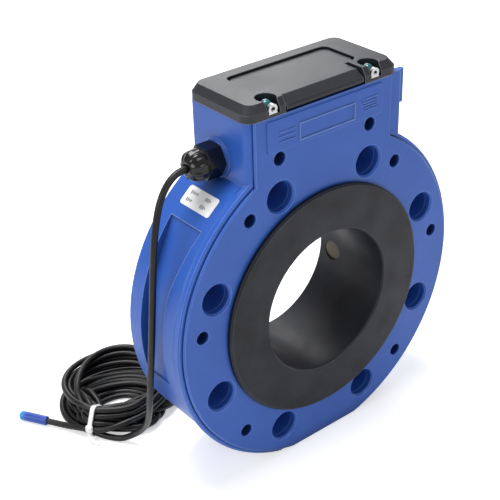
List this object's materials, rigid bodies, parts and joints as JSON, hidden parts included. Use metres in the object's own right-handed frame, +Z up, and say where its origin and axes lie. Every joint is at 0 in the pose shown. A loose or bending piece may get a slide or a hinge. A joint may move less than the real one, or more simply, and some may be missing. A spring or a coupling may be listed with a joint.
{
  "type": "electromagnetic flow meter",
  "caption": "Wafer electromagnetic flow meter with a ring of bolt holes, rubber-lined bore, top box with flip-up display cover, and a coiled signal cable.",
  "frame": {"origin": "centre of the measuring bore, midway between the two faces", "axes": "+Y along the bore from the front plate to the back face, +Z up to the display lid, +X to the right seen from the front plate"},
  "size_m": [0.2633, 0.1669, 0.2475],
  "materials": {
    "blue_plastic": "satin",
    "black_rubber": "matte",
    "steel_tube": "satin",
    "yoke_steel": "satin",
    "electrode_brass": "satin",
    "copper_winding": "gloss",
    "white_plastic": "satin",
    "grey_lid": "satin",
    "clear_window": "gloss",
    "display_grey": "gloss",
    "board_green": "gloss",
    "black_gloss": "gloss",
    "stainless": "bright",
    "teal_plastic": "gloss",
    "label_white": "satin",
    "cable_grey": "satin",
    "sleeve_blue": "satin"
  },
  "bodies": {
    "meter": {"battery_cell": "white_plastic", "battery_cradle": "black_gloss", "body_housing": "blue_plastic", "cable_coil": "cable_grey", "cable_drop": "cable_grey", "cable_end_sleeve": "sleeve_blue", "cable_tail": "cable_grey", "cable_tie": "white_plastic", "circuit_board": "board_green", "coil_bobbin_bottom": "white_plastic", "coil_bobbin_top": "white_plastic", "display_panel": "display_grey", "display_window": "clear_window", "electrode_bush_left": "white_plastic", "electrode_bush_right": "white_plastic", "electrode_left": "electrode_brass", "electrode_nut_left": "stainless", "electrode_nut_right": "stainless", "electrode_right": "electrode_brass", "field_coil_bottom": "copper_winding", "field_coil_top": "copper_winding", "front_plate": "blue_plastic", "front_plate_screws": "stainless", "gland_body": "black_gloss", "gland_cap_nut": "black_gloss", "gland_locknut": "black_gloss", "gland_seal": "black_rubber", "hinge_pin_left": "stainless", "hinge_pin_right": "stainless", "lid_frame": "grey_lid", "lid_gasket": "black_rubber", "measuring_tube": "steel_tube", "pole_core_bottom": "yoke_steel", "pole_core_top": "yoke_steel", "rubber_liner": "black_rubber", "seal_eye_left": "stainless", "seal_eye_right": "stainless", "seal_plug_left": "teal_plastic", "seal_plug_right": "teal_plastic", "terminal_block": "white_plastic", "wiring_label": "label_white", "yoke_ring": "yoke_steel"},
    "cover": {"flip_cover": "grey_lid"}
  },
  "joints": [
    {"name": "cover_hinge", "type": "hinge", "parent": "meter", "child": "cover", "pos_m": [0, -0.0246, 0.1366], "axis": [1, 0, 0], "range_deg": [0, 100]}
  ]
}
